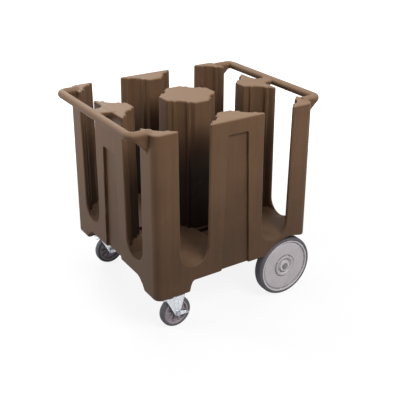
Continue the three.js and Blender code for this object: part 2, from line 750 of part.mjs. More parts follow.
const legOuter = CASTER_W / 2 + FORK_GAP + FORK_T;
const legInner = CASTER_W / 2 + FORK_GAP;
const leverInner = -legOuter - SEAT;
const leverOuter = leverInner - LEVER_T;
const plateTop = FOOT_Z - SEAT;
const plateBottom = plateTop - PLATE_T;

function topPlate() {
  const halfX = PLATE_LENGTH / 2;
  const halfY = PLATE_WIDTH / 2;
  const outline = roundedRectangle(-halfX, halfX, -halfY, halfY, 8, 3);
  const slab = stack([outline, outline], [plateBottom, plateTop]);
  const holes = plateBolts.map(([x, y]) => {
    return bar(PLATE_BOLT_R + SEAT, plateBottom - 1, plateTop + 1, SMALL / 2, true).translate(x, y, 0);
  });
  const middle = bar(KINGPIN_R + SEAT, plateBottom - 1, plateTop + 1, SMALL, true);
  return toGeometry(cutFrom(toSolid(slab), [middle, ...holes]));
}

/** The fork: two tapered legs, a flat crown and a round seat for the swivel race. */
function fork() {
  const crownTop = CROWN_Z + FORK_T;
  const shape = taperedCheek(-LEG_FRONT, FORK_REAR, crownTop - FORK_T / 2, TRAIL, CASTER_R, FORK_END_R);
  const legs = [sideProfile(shape, -legOuter, -legInner), sideProfile(shape, legInner, legOuter)];
  const crown = box(-FORK_FRONT, FORK_REAR, -legOuter, legOuter, CROWN_Z, crownTop);
  const seat = bar(CROWN_R, CROWN_Z + FORK_T / 2, RACE_Z, MEDIUM, true);
  const kingpinHole = bar(KINGPIN_R + SEAT, CROWN_Z - 1, RACE_Z + 1, SMALL, true);
  const axleHole = bar(CASTER_AXLE_R + SEAT, -legOuter - 1, legOuter + 1, SMALL);
  axleHole.translate(TRAIL, 0, CASTER_R);
  return toGeometry(cutFrom(joined([crown, seat, ...legs]), [kingpinHole, axleHole]));
}

function swivelRace() {
  const bottom = RACE_Z + SEAT;
  const top = plateBottom - SEAT;
  const bore = KINGPIN_R + SEAT;
  const ring = turned([
    [bore, bottom],
    [RACE_R - 5, bottom],
    [RACE_R, bottom + 5],
    [RACE_R, top - 3],
    [RACE_R - 3, top],
    [bore, top],
  ], MEDIUM);
  return ring.rotateX(Math.PI / 2);
}

function kingpin() {
  const headTop = CROWN_Z - SEAT;
  const rod = bar(KINGPIN_R, headTop - HEX_H / 2, plateTop, SMALL, true);
  return toGeometry(joined([bar(HEX_R, headTop - HEX_H, headTop, HEX, true), rod]));
}

/** The core of a caster wheel: hub, thin web and rim, with a bore for the sleeve. */
function casterCore() {
  const rim = CASTER_R - TREAD_T;
  const half = CASTER_W / 2;
  const hub = half + FORK_GAP / 3;
  const bore = SLEEVE_R + SEAT;
  const profile = [
    [bore, hub],
    [bore + 5, hub],
    [bore + 6, half - 9],
    [rim - 7, half - 9],
    [rim - 5, half - 1.5],
    [rim, half - 1.5],
  ];
  const mirrored = profile.map(([radius, y]) => [radius, -y]);
  return turned([...mirrored, ...profile.reverse()], MEDIUM);
}

/** The bolt through both legs; its head lies over the brake lever on the -Y side. */
function casterAxle() {
  const headBase = leverOuter - SEAT;
  const end = legOuter + SEAT + HEX_H + 2;
  const head = bar(HEX_R, headBase - HEX_H, headBase, HEX);
  return toGeometry(joined([head, bar(CASTER_AXLE_R, headBase - HEX_H / 2, end, SMALL)]));
}

function casterNut() {
  const base = legOuter + SEAT;
  const hex = bar(HEX_R, base, base + HEX_H, HEX);
  return toGeometry(cutFrom(toSolid(hex), [bar(CASTER_AXLE_R + SEAT, base - 1, base + HEX_H + 1, SMALL)]));
}

/** The brake lever: an eye on the axle, a tapered arm toward the rear and a tread plate at its end. */
function brakeLever() {
  const distance = Math.hypot(LEVER_REACH, LEVER_FALL);
  const toward = Math.atan2(-LEVER_FALL, LEVER_REACH);
  const spread = Math.acos((LEVER_EYE_R - LEVER_END_R) / distance);
  const shape = new THREE.Shape();
  shape.absarc(0, 0, LEVER_EYE_R, toward + spread, toward - spread + Math.PI * 2, false);
  shape.absarc(LEVER_REACH, -LEVER_FALL, LEVER_END_R, toward - spread, toward + spread, false);
  shape.closePath();
  const arm = sideProfile(shape, leverOuter, leverInner, 10);
  const treadTop = LEVER_END_R - LEVER_FALL - LEVER_T / 4;
  const end = LEVER_REACH + LEVER_END_R / 2;
  const tread = box(end - TREAD_LENGTH, end, leverOuter - TREAD_OUT, leverInner - LEVER_T / 2,
    treadTop - LEVER_T, treadTop);
  const bore = bar(CASTER_AXLE_R + SEAT, leverOuter - 1, leverInner + 1, SMALL);
  return toGeometry(cutFrom(joined([arm, tread]), [bore]));
}

/** A whole caster at one front corner. */
function caster(side, name) {
  const group = new THREE.Group();
  group.position.set(CASTER_X, side * CASTER_Y, 0);
  addPiece(group, `${name}_top_plate`, topPlate(), FINISH.zinc);
  plateBolts.forEach(([x, y], i) => {
    const bolt = mountBolt(PLATE_BOLT_R, BOLT_HEAD_R, BOLT_HEAD_H, BOLT_LENGTH);
    bolt.translate(x, y, plateBottom - SEAT);
    addPiece(group, `${name}_plate_bolt_${i + 1}`, bolt, FINISH.steel);
  });
  addPiece(group, `${name}_swivel_race`, swivelRace(), FINISH.zinc);
  addPiece(group, `${name}_kingpin`, kingpin(), FINISH.steel);
  addPiece(group, `${name}_fork`, fork(), FINISH.zinc);
  const sleeveEnd = legInner - SEAT;
  const atAxle = new THREE.Group();
  atAxle.position.set(TRAIL, 0, CASTER_R);
  addPiece(atAxle, `${name}_wheel_core`, casterCore(), FINISH.casterCore);
  addPiece(atAxle, `${name}_tread`, tyre(CASTER_R, TREAD_T, CASTER_W, TREAD_T / 2, MEDIUM), FINISH.tyre);
  addPiece(atAxle, `${name}_axle_sleeve`,
    tube(CASTER_AXLE_R + SEAT, SLEEVE_R, -sleeveEnd, sleeveEnd, SMALL), FINISH.nylon);
  addPiece(atAxle, `${name}_axle_bolt`, casterAxle(), FINISH.steel);
  addPiece(atAxle, `${name}_axle_nut`, casterNut(), FINISH.steel);
  addPiece(atAxle, `${name}_brake_lever`, brakeLever(), FINISH.zinc);
  group.add(atAxle);
  cart.add(group);
}

caster(-1, 'caster_near');
caster(1, 'caster_far');

export default cart;
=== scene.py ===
import json
import logging
import math
from dataclasses import dataclass
from enum import Enum
from typing import Callable, Sequence

import bpy
import numpy as np
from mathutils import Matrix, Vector


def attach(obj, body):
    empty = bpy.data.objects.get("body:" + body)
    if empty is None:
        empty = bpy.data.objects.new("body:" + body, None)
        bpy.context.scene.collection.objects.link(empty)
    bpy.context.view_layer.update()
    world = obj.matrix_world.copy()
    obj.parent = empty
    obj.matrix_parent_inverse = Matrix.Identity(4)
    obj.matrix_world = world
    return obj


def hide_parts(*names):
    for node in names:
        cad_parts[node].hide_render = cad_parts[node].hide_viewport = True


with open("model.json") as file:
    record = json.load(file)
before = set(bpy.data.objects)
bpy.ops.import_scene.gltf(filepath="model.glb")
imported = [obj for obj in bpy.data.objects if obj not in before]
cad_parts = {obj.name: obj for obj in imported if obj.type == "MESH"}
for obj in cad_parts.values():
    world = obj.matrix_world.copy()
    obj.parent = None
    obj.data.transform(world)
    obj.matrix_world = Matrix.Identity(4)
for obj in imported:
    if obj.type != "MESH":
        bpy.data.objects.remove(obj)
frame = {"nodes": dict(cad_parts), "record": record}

"""Dresses the plate cart: one moulded body, two large fixed wheels, two swivel casters with brakes.

The pieces' sizes are in millimetres and become metres when a mesh is made; the finishes and the studio are
in metres. X runs along the cart toward the large wheels, the long side seen in the picture faces -Y, and Z
is up from the floor.
"""

LOG = logging.getLogger("plate_cart")
MM = 0.001
TURN = 2 * math.pi
FOLD = math.radians(32)  # an edge that folds by more stays sharp
STRAIGHT = 0.9999  # cosine beyond which two sides count as one line
SIDE_SHARE = 0.49  # most of a side that one round corner may take
WHITE = (1, 1, 1, 1)

Array = np.ndarray
Material = bpy.types.Material
Pair = tuple[float, float]
Triple = tuple[float, float, float]
Profile = Sequence[Triple]
Field = Callable[[Array, Array, Array], Array]


class Side(Enum):
    """The two long sides of the cart."""

    NEAR = -1
    FAR = 1


# ---------- shader maths


class Wire:
    """A node socket that takes part in Python expressions on numbers."""

    def __init__(self, sheet: "NodeSheet", socket: bpy.types.NodeSocket | None) -> None:
        """Keeps the socket and the sheet that it lies on."""
        self.sheet = sheet
        self.socket = socket

    def _math(self, operation: str, first: object, second: object) -> "Wire":
        """The result of one Math node, whose inputs are wires or numbers."""
        return self.sheet.add("Math", {0: first, 1: second}, operation=operation)

    def __add__(self, other: object) -> "Wire":
        """Sum."""
        return self._math("ADD", self, other)

    def __sub__(self, other: object) -> "Wire":
        """Difference."""
        return self._math("SUBTRACT", self, other)

    def __rsub__(self, other: object) -> "Wire":
        """Difference with the number on the left."""
        return self._math("SUBTRACT", other, self)

    def __mul__(self, other: object) -> "Wire":
        """Product."""
        return self._math("MULTIPLY", self, other)

    def size(self) -> "Wire":
        """The value without its sign."""
        return self._math("ABSOLUTE", self, 0)

    def larger(self, other: object) -> "Wire":
        """The larger of two values."""
        return self._math("MAXIMUM", self, other)

    def between(self, low: float, high: float) -> "Wire":
        """0 at low, 1 at high, a straight line between, kept in that range."""
        return self.sheet.add("MapRange", {"Value": self, "From Min": low, "From Max": high}, clamp=True)


class NodeSheet:
    """The node tree of a material or a world, with a single method that adds any node."""

    def __init__(self, owner: Material | bpy.types.World) -> None:
        """Empties the owner's tree."""
        owner.use_nodes = True
        self.owner = owner
        self.tree = owner.node_tree
        self.tree.nodes.clear()

    def add(self, kind: str, values: dict[int | str, object] | None = None, out: int | str = 0,
            **settings: object) -> Wire:
        """Adds a node, sets its settings first and then its sockets.

        Args:
            kind: the node's type without ShaderNode.
            values: a Wire, a number or a tuple for each named or numbered input.
            out: which output to return.
            settings: the node's attributes.

        Returns:
            The chosen output.
        """
        node = self.tree.nodes.new("ShaderNode" + kind)
        for key, value in settings.items():
            setattr(node, key, value)
        for key, value in (values or {}).items():
            if isinstance(value, Wire):
                self.tree.links.new(value.socket, node.inputs[key])
            else:
                node.inputs[key].default_value = value
        return Wire(self, node.outputs[out] if len(node.outputs) else None)

    def place(self, stretch: Triple = (1, 1, 1)) -> Wire:
        """Object coordinates in metres, stretched along each axis."""
        return self.add("Mapping", {"Vector": self.add("TexCoord", out="Object"), "Scale": stretch})

    def split(self, vector: Wire) -> list[Wire]:
        """The three parts of a vector."""
        outputs = self.add("SeparateXYZ", {"Vector": vector}).socket.node.outputs
        return [Wire(self, output) for output in outputs]

    def seen(self) -> Wire:
        """1 for what the camera, metal and glass see, 0 for the light that falls on other surfaces."""
        outputs = self.add("LightPath").socket.node.outputs
        kinds = ("Camera", "Glossy", "Transmission")
        camera, metal, glass = (Wire(self, outputs[f"Is {kind} Ray"]) for kind in kinds)
        return camera.larger(metal).larger(glass)

    def noise(self, point: Wire, scale: float, detail: float = 2, rough: float = 0.5) -> Wire:
        """Even noise between about 0.2 and 0.8."""
        return self.add("TexNoise", {"Vector": point, "Scale": scale, "Detail": detail, "Roughness": rough})

    def mix(self, factor: Wire, first: Wire | Triple, second: Wire | Triple) -> Wire:
        """A colour between two others, wires or screen values; the factor is the share of the second."""
        ends = [color if isinstance(color, Wire) else shade(color) for color in (first, second)]
        return self.add("Mix", {0: factor, 6: ends[0], 7: ends[1]}, 2, data_type="RGBA")

    def bump(self, height: Wire, strength: float, distance: float) -> Wire:
        """A bumped normal from a height."""
        return self.add("Bump", {"Height": height, "Strength": strength, "Distance": distance})

    def finish(self, color: Wire, rough: Wire, normal: Wire, specular: float = 0.5,
               metallic: float = 0) -> Material:
        """Closes the material with a Principled shader.

        Args:
            color: base colour.
            rough: roughness.
            normal: bumped normal.
            specular: strength of the reflection at a right angle.
            metallic: 1 for metal.

        Returns:
            The finished material.
        """
        shader = self.add("BsdfPrincipled", {"Base Color": color, "Roughness": rough, "Normal": normal,
                                             "Specular IOR Level": specular, "Metallic": metallic})
        self.add("OutputMaterial", {"Surface": shader})
        return self.owner


def blank(name: str) -> tuple[NodeSheet, Wire]:
    """The empty sheet of a new material, and the place of a point on it."""
    sheet = NodeSheet(bpy.data.materials.new(name))
    return sheet, sheet.place()


def shade(color: Triple) -> tuple[float, ...]:
    """A colour in 0 to 255 screen values as linear values, by the two branches of the sRGB curve."""
    screen = np.array(color) / 255
    linear = np.where(screen <= 0.04045, screen / 12.92, ((screen + 0.055) / 1.055) ** 2.4)
    return (*linear.tolist(), 1.0)


# ---------- finishes


@dataclass(frozen=True)
class MouldedPlastic:
    """Brown moulded plastic: pebbled grain, faint flow marks, soft scuffs, a painted highlight on tops,
    painted shade deep and low.
    """

    light: Triple = (121, 91, 67)
    dark: Triple = (103, 76, 54)
    # paler colour of the painted highlight on faces that look up, and of the scuffs
    highlight_and_wear: Triple = (148, 121, 97)
    # dark colour of the painted shade in the columns and towards the bottom
    deep: Triple = (29, 18, 11)
    roughness: float = 0.58
    # these two set how far inside the outer faces the painted shade in the columns begins
    half: float = 0.35
    wall: Pair = (0.004, 0.05)
    # height from which the painted shade in the columns deepens downward, and over what depth
    column_shade_top: float = 0.76
    column_shade_fade: float = 0.26
    # height from which the whole body is painted darker downward as shade, and over what depth
    lower_shade_top: float = 0.70
    lower_shade_fade: float = 0.40
    # heights over which the painted highlight grows toward the top rim
    rim: Pair = (0.60, 0.78)

    def build(self) -> Material:
        """Builds the material.

        The tone is a cloud with upright flow marks. Faces that look up are painted paler as a highlight, most
        at the top rim, with random scuffs of wear; walls deep inside the columns get painted shade, and the
        body is painted darker downward.

        Returns:
            The finished material.
        """
        sheet, point = blank("moulded_plastic")
        x, y, z = sheet.split(point)
        up = sheet.split(sheet.add("TexCoord", out="Normal"))[2]
        cloud = sheet.noise(point, 7, 3, 0.55)
        flow = sheet.noise(sheet.place((1, 1, 0.08)), 46)
        scuff = sheet.noise(sheet.place((1, 1, 0.35)), 24, 6, 0.72)
        tone = (cloud * 0.6 + flow * 0.4).between(0.34, 0.68)
        base = sheet.mix(tone, self.dark, self.light)
        # painted shade: walls deep inside the columns that do not look up are painted dark
        inner = (self.half - x.size().larger(y.size())).between(*self.wall)
        sunk = inner * (self.column_shade_top - z).between(0, self.column_shade_fade) * (1 - up.between(0.2, 0.9) * 0.85)
        base = sheet.mix(sunk * 0.92, base, self.deep)
        # painted shade: the whole body is painted darker towards the bottom
        base = sheet.mix((self.lower_shade_top - z).between(0, self.lower_shade_fade) * 0.35, base, self.deep)
        # painted highlight on faces that look up near the top rim, mixed with random scuffs of wear
        rim = up.between(0.15, 0.75) * z.between(*self.rim)
        top_light_and_scuffs = (rim * 0.8 + scuff.between(0.60, 0.78) * 0.16).between(0, 1)
        grain = sheet.noise(point, 900, 1)
        ripple = sheet.noise(point, 30)
        normal = sheet.bump(grain * 0.7 + ripple * 0.3, 0.16, 0.0008)
        rough = tone * 0.08 + (self.roughness - 0.04) + top_light_and_scuffs * 0.08
        return sheet.finish(sheet.mix(top_light_and_scuffs, base, self.highlight_and_wear), rough, normal, specular=0.22)


@dataclass(frozen=True)
class TyreRubber:
    """Dark grey solid rubber with dusty high spots."""

    color: Triple = (104, 100, 106)
    dust: Triple = (138, 134, 138)
    roughness: float = 0.66

    def build(self) -> Material:
        """Builds the material: patches of dust over dark rubber and a fine matt grain."""
        sheet, point = blank("tyre_rubber")
        patch = sheet.noise(point, 28, 5, 0.62).between(0.42, 0.72)
        color = sheet.mix(patch * 0.45, self.color, self.dust)
        grain = sheet.bump(sheet.noise(point, 620, 2, 0.6), 0.2, 0.0005)
        return sheet.finish(color, patch * 0.14 + self.roughness, grain, specular=0.35)


@dataclass(frozen=True)
class WheelPlastic:
    """Grey moulded wheel plastic, slightly cloudy, darker in its grooves, with a ring of wear and a painted
    highlight ring.
    """

    color: Triple = (224, 217, 220)
    dark: Triple = (208, 201, 204)
    roughness: float = 0.38
    name: str = "wheel_plastic"
    # rings darker in the grooves
    groove_rings: tuple[Pair, ...] = ()
    # pale rings; the one on the rim lip is a painted highlight, the one round the bore is wear
    highlight_and_wear_rings: tuple[Pair, ...] = ()
    axle: Pair = (0.26, 0.127)
    soft: float = 0.0008
    grime: Triple = (120, 114, 110)
    # darker colour in the grooves
    groove_tone: Triple = (110, 103, 108)
    # pale colour of the painted highlight on the rim lip and of the wear ring round the bore
    highlight_and_wear: Triple = (242, 238, 240)

    def ring(self, square: Wire, low: float, high: float) -> Wire:
        """1 between two distances from the axle, 0 elsewhere, found from the squared distance."""
        rise, fall = (square.between((at - self.soft) ** 2, (at + self.soft) ** 2) for at in (low, high))
        return rise - fall

    def build(self) -> Material:
        """Builds the material: a cloudy tone, faint grime, groove rings, a wear ring and a painted highlight
        ring, a fine grain.
        """
        sheet, point = blank(self.name)
        cloud = sheet.noise(point, 18, 4, 0.6).between(0.35, 0.7)
        grime = sheet.noise(point, 70, 4, 0.7).between(0.6, 0.8)
        color = sheet.mix(grime * 0.2, sheet.mix(cloud, self.color, self.dark), self.grime)
        x, _, z = sheet.split(point)
        across, up = x - self.axle[0], z - self.axle[1]
        square = across * across + up * up
        streak = sheet.noise(point, 120, 3, 0.6).between(0.25, 0.6)
        # rings darker in the grooves, in streaks
        for low, high in self.groove_rings:
            color = sheet.mix(self.ring(square, low, high) * streak * 0.75, color, self.groove_tone)
        # pale rings: a painted highlight on the rim lip and a ring of wear round the bore
        for low, high in self.highlight_and_wear_rings:
            color = sheet.mix(self.ring(square, low, high) * 0.8, color, self.highlight_and_wear)
        grain = sheet.bump(sheet.noise(point, 700, 1), 0.1, 0.0004)
        return sheet.finish(color, cloud * 0.1 + self.roughness, grain)


@dataclass(frozen=True)
class PlatedSteel:
    """Bright zinc plate over pressed steel, with faint streaks and a soft spangle."""

    color: Triple = (232, 236, 240)
    dark: Triple = (186, 190, 195)
    roughness: float = 0.27
    name: str = "plated_steel"

    def build(self) -> Material:
        """Builds the material: spangled tone, streaked roughness and a faint ripple."""
        sheet, point = blank(self.name)
        spangle = sheet.noise(point, 130, 3, 0.6).between(0.32, 0.70)
        streak = sheet.noise(sheet.place((6, 6, 0.6)), 50).between(0.3, 0.7)
        color = sheet.mix(spangle, self.color, self.dark)
        ripple = sheet.bump(sheet.noise(point, 90), 0.08, 0.0005)
        return sheet.finish(color, streak * 0.14 + self.roughness, ripple, metallic=1)


@dataclass(frozen=True)
class SleeveNylon:
    """Off-white nylon of the bushes and axle sleeves."""

    color: Triple = (214, 210, 198)
    dark: Triple = (196, 190, 176)
    roughness: float = 0.45

    def build(self) -> Material:
        """Builds the material: a faint cloud in tone and a smooth surface."""
        sheet, point = blank("sleeve_nylon")
        cloud = sheet.noise(point, 60, 3, 0.6).between(0.3, 0.7)
        grain = sheet.bump(sheet.noise(point, 400, 1), 0.1, 0.0003)
        return sheet.finish(sheet.mix(cloud, self.color, self.dark), cloud * 0.1 + self.roughness, grain)


# ---------- surfaces


def placed(name: str, data: bpy.types.ID) -> bpy.types.Object:
    """A new object with that data, linked to the scene."""
    thing = bpy.data.objects.new(name, data)
    bpy.context.scene.collection.objects.link(thing)
    return thing


def smooth(mesh: bpy.types.Mesh, normals: Array | None) -> None:
    """Shades a mesh smooth, by a normal for each point or else with sharp edges at its steeper folds."""
    mesh.polygons.foreach_set("use_smooth", np.ones(len(mesh.polygons), dtype=bool))
    if normals is None:
        mesh.set_sharp_from_angle(angle=FOLD)
    else:
        mesh.normals_split_custom_set_from_vertices(normals.tolist())
    mesh.update()


@dataclass
class Surface:
    """Points in millimetres, faces as point numbers, and a normal for each point where one is known."""

    points: Array
    faces: list[list[int]]
    normals: Array | None = None

    def moved(self, x: float, y: float, z: float) -> "Surface":
        """The same surface in another place."""
        return Surface(self.points + np.array([x, y, z]), self.faces)

    def scaled(self, x: float, y: float, z: float) -> "Surface":
        """The same surface stretched or turned over along each axis."""
        return Surface(self.points * np.array([x, y, z]), self.faces)

    def upright(self) -> "Surface":
        """A piece made about Y, stood up along Z: y becomes z and z becomes -y."""
        x, y, z = self.points.T
        return Surface(np.stack([x, -z, y], axis=1), self.faces)

    def to_object(self, name: str, material: Material) -> bpy.types.Object:
        """The Blender object of that name and finish, in metres and linked to the scene."""
        mesh = bpy.data.meshes.new(name)
        mesh.from_pydata((self.points * MM).tolist(), [], self.faces)
        mesh.materials.append(material)
        smooth(mesh, self.normals)
        return placed(name, mesh)


def hand_over(piece: bpy.types.Object, body: str, node: str) -> None:
    """Hands a finished piece to the frame and logs it.

    Args:
        piece: the piece.
        body: its body.
        node: the CAD node that it stands for.
    """
    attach(piece, body)
    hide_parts(node)
    LOG.info("%s: %d faces", piece.name, len(piece.data.polygons))


def merged(parts: Sequence[Surface]) -> Surface:
    """Several surfaces without normals as one."""
    faces: list[list[int]] = []
    start = 0
    for part in parts:
        faces += [[index + start for index in row] for row in part.faces]
        start += len(part.points)
    return Surface(np.concatenate([part.points for part in parts]), faces)


def outward(surface: Surface) -> Surface:
    """A closed surface with its faces turned outwards.

    The volume is a sixth of the sum of the triple products of each face's fan; when it is below zero
    every face is reversed.

    Args:
        surface: the closed surface.

    Returns:
        The same surface, facing out.
    """
    rows = surface.faces
    fans = np.array([(row[0], row[i], row[i + 1]) for row in rows for i in range(1, len(row) - 1)])
    a, b, c = (surface.points[fans[:, k]] for k in range(3))
    if np.einsum("ij,ij->i", a, np.cross(b, c)).sum() < 0:
        rows = [row[::-1] for row in rows]
    return Surface(surface.points, rows)


def ringed(points: Array, joined: bool) -> Surface:
    """Quads from ring to ring of points, and a polygon over each end where the ends are not joined.

    Args:
        points: the points, ring by ring.
        joined: whether the last ring joins the first.

    Returns:
        The closed surface, facing out.
    """
    rows, columns = points.shape[:2]
    ring = np.arange(rows if joined else rows - 1)[:, None]
    column = np.arange(columns)
    after = (column + 1) % columns
    here, there = ring * columns, (ring + 1) % rows * columns
    quads = np.stack([here + column, here + after, there + after, there + column], axis=-1)
    ends = [] if joined else [column[::-1].tolist(), (column + (rows - 1) * columns).tolist()]
    return outward(Surface(points.reshape(-1, 3), quads.reshape(-1, 4).tolist() + ends))


def softened(profile: Profile, closed: bool, steps: int = 5) -> Array:
    """A profile with each corner replaced by a round one.

    The arc starts and ends where a circle of the corner's radius touches the two straight lines, and its
    points lie on the circle at even angles.

    Args:
        profile: two coordinates and the corner radius of each point.
        closed: whether the last point joins the first.
        steps: pieces in each arc.

    Returns:
        The points of the softened profile, two columns.
    """
    pts = np.array(profile, float)[:, :2]
    out: list[Array] = []
    count = len(pts)
    for i, (_, _, radius) in enumerate(profile):
        if radius <= 0 or (not closed and i in (0, count - 1)):
            out.append(pts[i:i + 1])
            continue
        before, after = pts[i - 1] - pts[i], pts[(i + 1) % count] - pts[i]
        la, lb = np.linalg.norm(before), np.linalg.norm(after)
        before, after = before / la, after / lb
        half = 0.5 * math.acos(float(np.clip(before @ after, -STRAIGHT, STRAIGHT)))
        reach = min(radius / math.tan(half), SIDE_SHARE * la, SIDE_SHARE * lb)
        bisector = (before + after) / np.linalg.norm(before + after)
        centre = pts[i] + bisector * (reach * math.tan(half)) / math.sin(half)
        start = pts[i] + before * reach - centre
        finish = pts[i] + after * reach - centre
        turn = math.atan2(start[0] * finish[1] - start[1] * finish[0], float(start @ finish))
        angles = np.linspace(0, turn, steps + 1)[:, None]
        side = np.array([-start[1], start[0]])
        out.append(centre + start * np.cos(angles) + side * np.sin(angles))
    return np.concatenate(out)


def box(left: float, low: float, right: float, high: float, radius: float = 0) -> Array:
    """Outline of a box with round corners."""
    corners = ((left, low), (right, low), (right, high), (left, high))
    return softened([(*corner, radius) for corner in corners], True)


def both_sides(profile: list[Triple]) -> list[Triple]:
    """A profile and its mirror image across y = 0, which leads back to its start."""
    return profile + [(radius, -y, corner) for radius, y, corner in profile[::-1]]


def circle(angle: Array) -> Array:
    """Points of a circle of radius 1 at these angles, two columns."""
    return np.stack([np.cos(angle), np.sin(angle)], axis=1)


def crowded(outline: Array, step: float) -> Array:
    """The closed outline with points added, so that none is further than step from the next."""
    after = np.roll(outline, -1, axis=0)
    counts = np.maximum(np.ceil(np.linalg.norm(after - outline, axis=1) / step), 1).astype(int)
    return np.concatenate([
        a + (b - a) * np.linspace(0, 1, n, endpoint=False)[:, None] for a, b, n in zip(outline, after, counts)
    ])


def turned(profile: Profile, segments: int = 96, ring: bool = True) -> Surface:
    """A ring about the Y axis, or a solid round piece with a polygon over each end.

    The profile is carried round: x is its radius times the cosine and z its radius times the sine of an
    angle with even steps.

    Args:
        profile: radius, y and corner radius of each point; closed for a ring, from end to end for a solid.
        segments: steps round.
        ring: whether it is a ring.

    Returns:
        The closed surface.
    """
    section = softened(profile, ring, 5 if ring else 4)
    angle = np.linspace(0, TURN, segments, endpoint=False)[:, None]
    x, z = section[:, 0] * np.cos(angle), section[:, 0] * np.sin(angle)
    points = np.stack([x, np.broadcast_to(section[:, 1], x.shape), z], axis=-1)
    return ringed(points if ring else points.transpose(1, 0, 2), ring)


def prism(outline: Array, low: float, high: float, edge: float, steps: int = 3, hole: float = 0) -> Surface:
    """An outline in X and Z thickened along Y, with its two rims rounded.

    The outline is moved in along its own normals by edge times (1 - sine) while y moves by edge times
    (1 - cosine), which draws a quarter circle at each rim. A round hole at the origin is two more rings,
    each point at the angle of its outline point, and the last ring joins the first.

    Args:
        outline: points of the closed outline, counter-clockwise seen from -Y.
        low: y of one face.
        high: y of the other face.
        edge: radius of the rims.
        steps: pieces in each quarter circle.
        hole: radius of the hole, 0 for none.

    Returns:
        The closed surface.
    """
    after = np.roll(outline, -1, axis=0) - outline
    after = after / np.linalg.norm(after, axis=1)[:, None]
    mean = after + np.roll(after, 1, axis=0)
    mean = mean / np.linalg.norm(mean, axis=1)[:, None]
    normal = np.stack([mean[:, 1], -mean[:, 0]], axis=1)
    stretch = 1 / np.clip(np.einsum("ij,ij->i", mean, after), 0.5, 1)
    quarter = np.linspace(0, math.pi / 2, steps + 1)
    inset, along = edge * (1 - np.sin(quarter)), edge * (1 - np.cos(quarter))
    insets = np.concatenate([inset, inset[::-1]])
    ys = np.concatenate([low + along, high - along[::-1]])
    flat = outline - normal * (insets[:, None] * stretch)[:, :, None]
    if hole:
        rim = hole * circle(np.arctan2(outline[:, 1], outline[:, 0]))[None]
        flat, ys = np.concatenate([rim, flat, rim]), np.array([low, *ys, high])
    return ringed(np.insert(flat, 1, ys[:, None], axis=2), hole > 0)


# ---------- level surfaces


def overlap(a: Array, b: Array, radius: float) -> Array:
    """Distance to what two shapes share, with the edge between them rounded.

    It is the length of the two distances plus the radius where both are above minus the radius, and the
    larger distance elsewhere.

    Args:
        a: distance to the first shape, negative inside.
        b: distance to the second shape.
        radius: radius of the edge.

    Returns:
        Distance to the shared part.
    """
    u, v = np.maximum(a + radius, 0), np.maximum(b + radius, 0)
    return np.minimum(-radius, np.maximum(a, b)) + np.sqrt(u * u + v * v)


def union(a: Array, b: Array, radius: float) -> Array:
    """Distance to two shapes joined by a round fillet: the overlap rule with every sign turned."""
    return -overlap(-a, -b, radius)


def past_corner(qx: Array, qy: Array) -> Array:
    """Distance to a right corner: the length of the two overshoots outside it, the larger one inside."""
    outside = np.sqrt(np.maximum(qx, 0) ** 2 + np.maximum(qy, 0) ** 2)
    return outside + np.minimum(np.maximum(qx, qy), 0)


def gradient(shape: Field, points: Array, step: float = 0.15) -> Array:
    """The direction in which a distance grows, from its change over a small step each way."""
    columns = [shape(*(points + shift).T) - shape(*(points - shift).T) for shift in step * np.eye(3)]
    return np.stack(columns, axis=1) / (2 * step)


def settled(shape: Field, points: Array, rounds: int) -> tuple[Array, Array]:
    """Slides points along the gradient until the distance is zero.

    Args:
        shape: distance at arrays of x, y and z.
        points: where the points start.
        rounds: how often they move, each time by 2 mm at most.

    Returns:
        The settled points and the unit normals there.
    """
    for _ in range(rounds):
        slope = gradient(shape, points)
        steep = np.maximum((slope * slope).sum(axis=1), 0.05)
        points = points - slope * np.clip(shape(*points.T) / steep, -2, 2)[:, None]
    slope = gradient(shape, points)
    return points, slope / np.maximum(np.linalg.norm(slope, axis=1), 1e-9)[:, None]


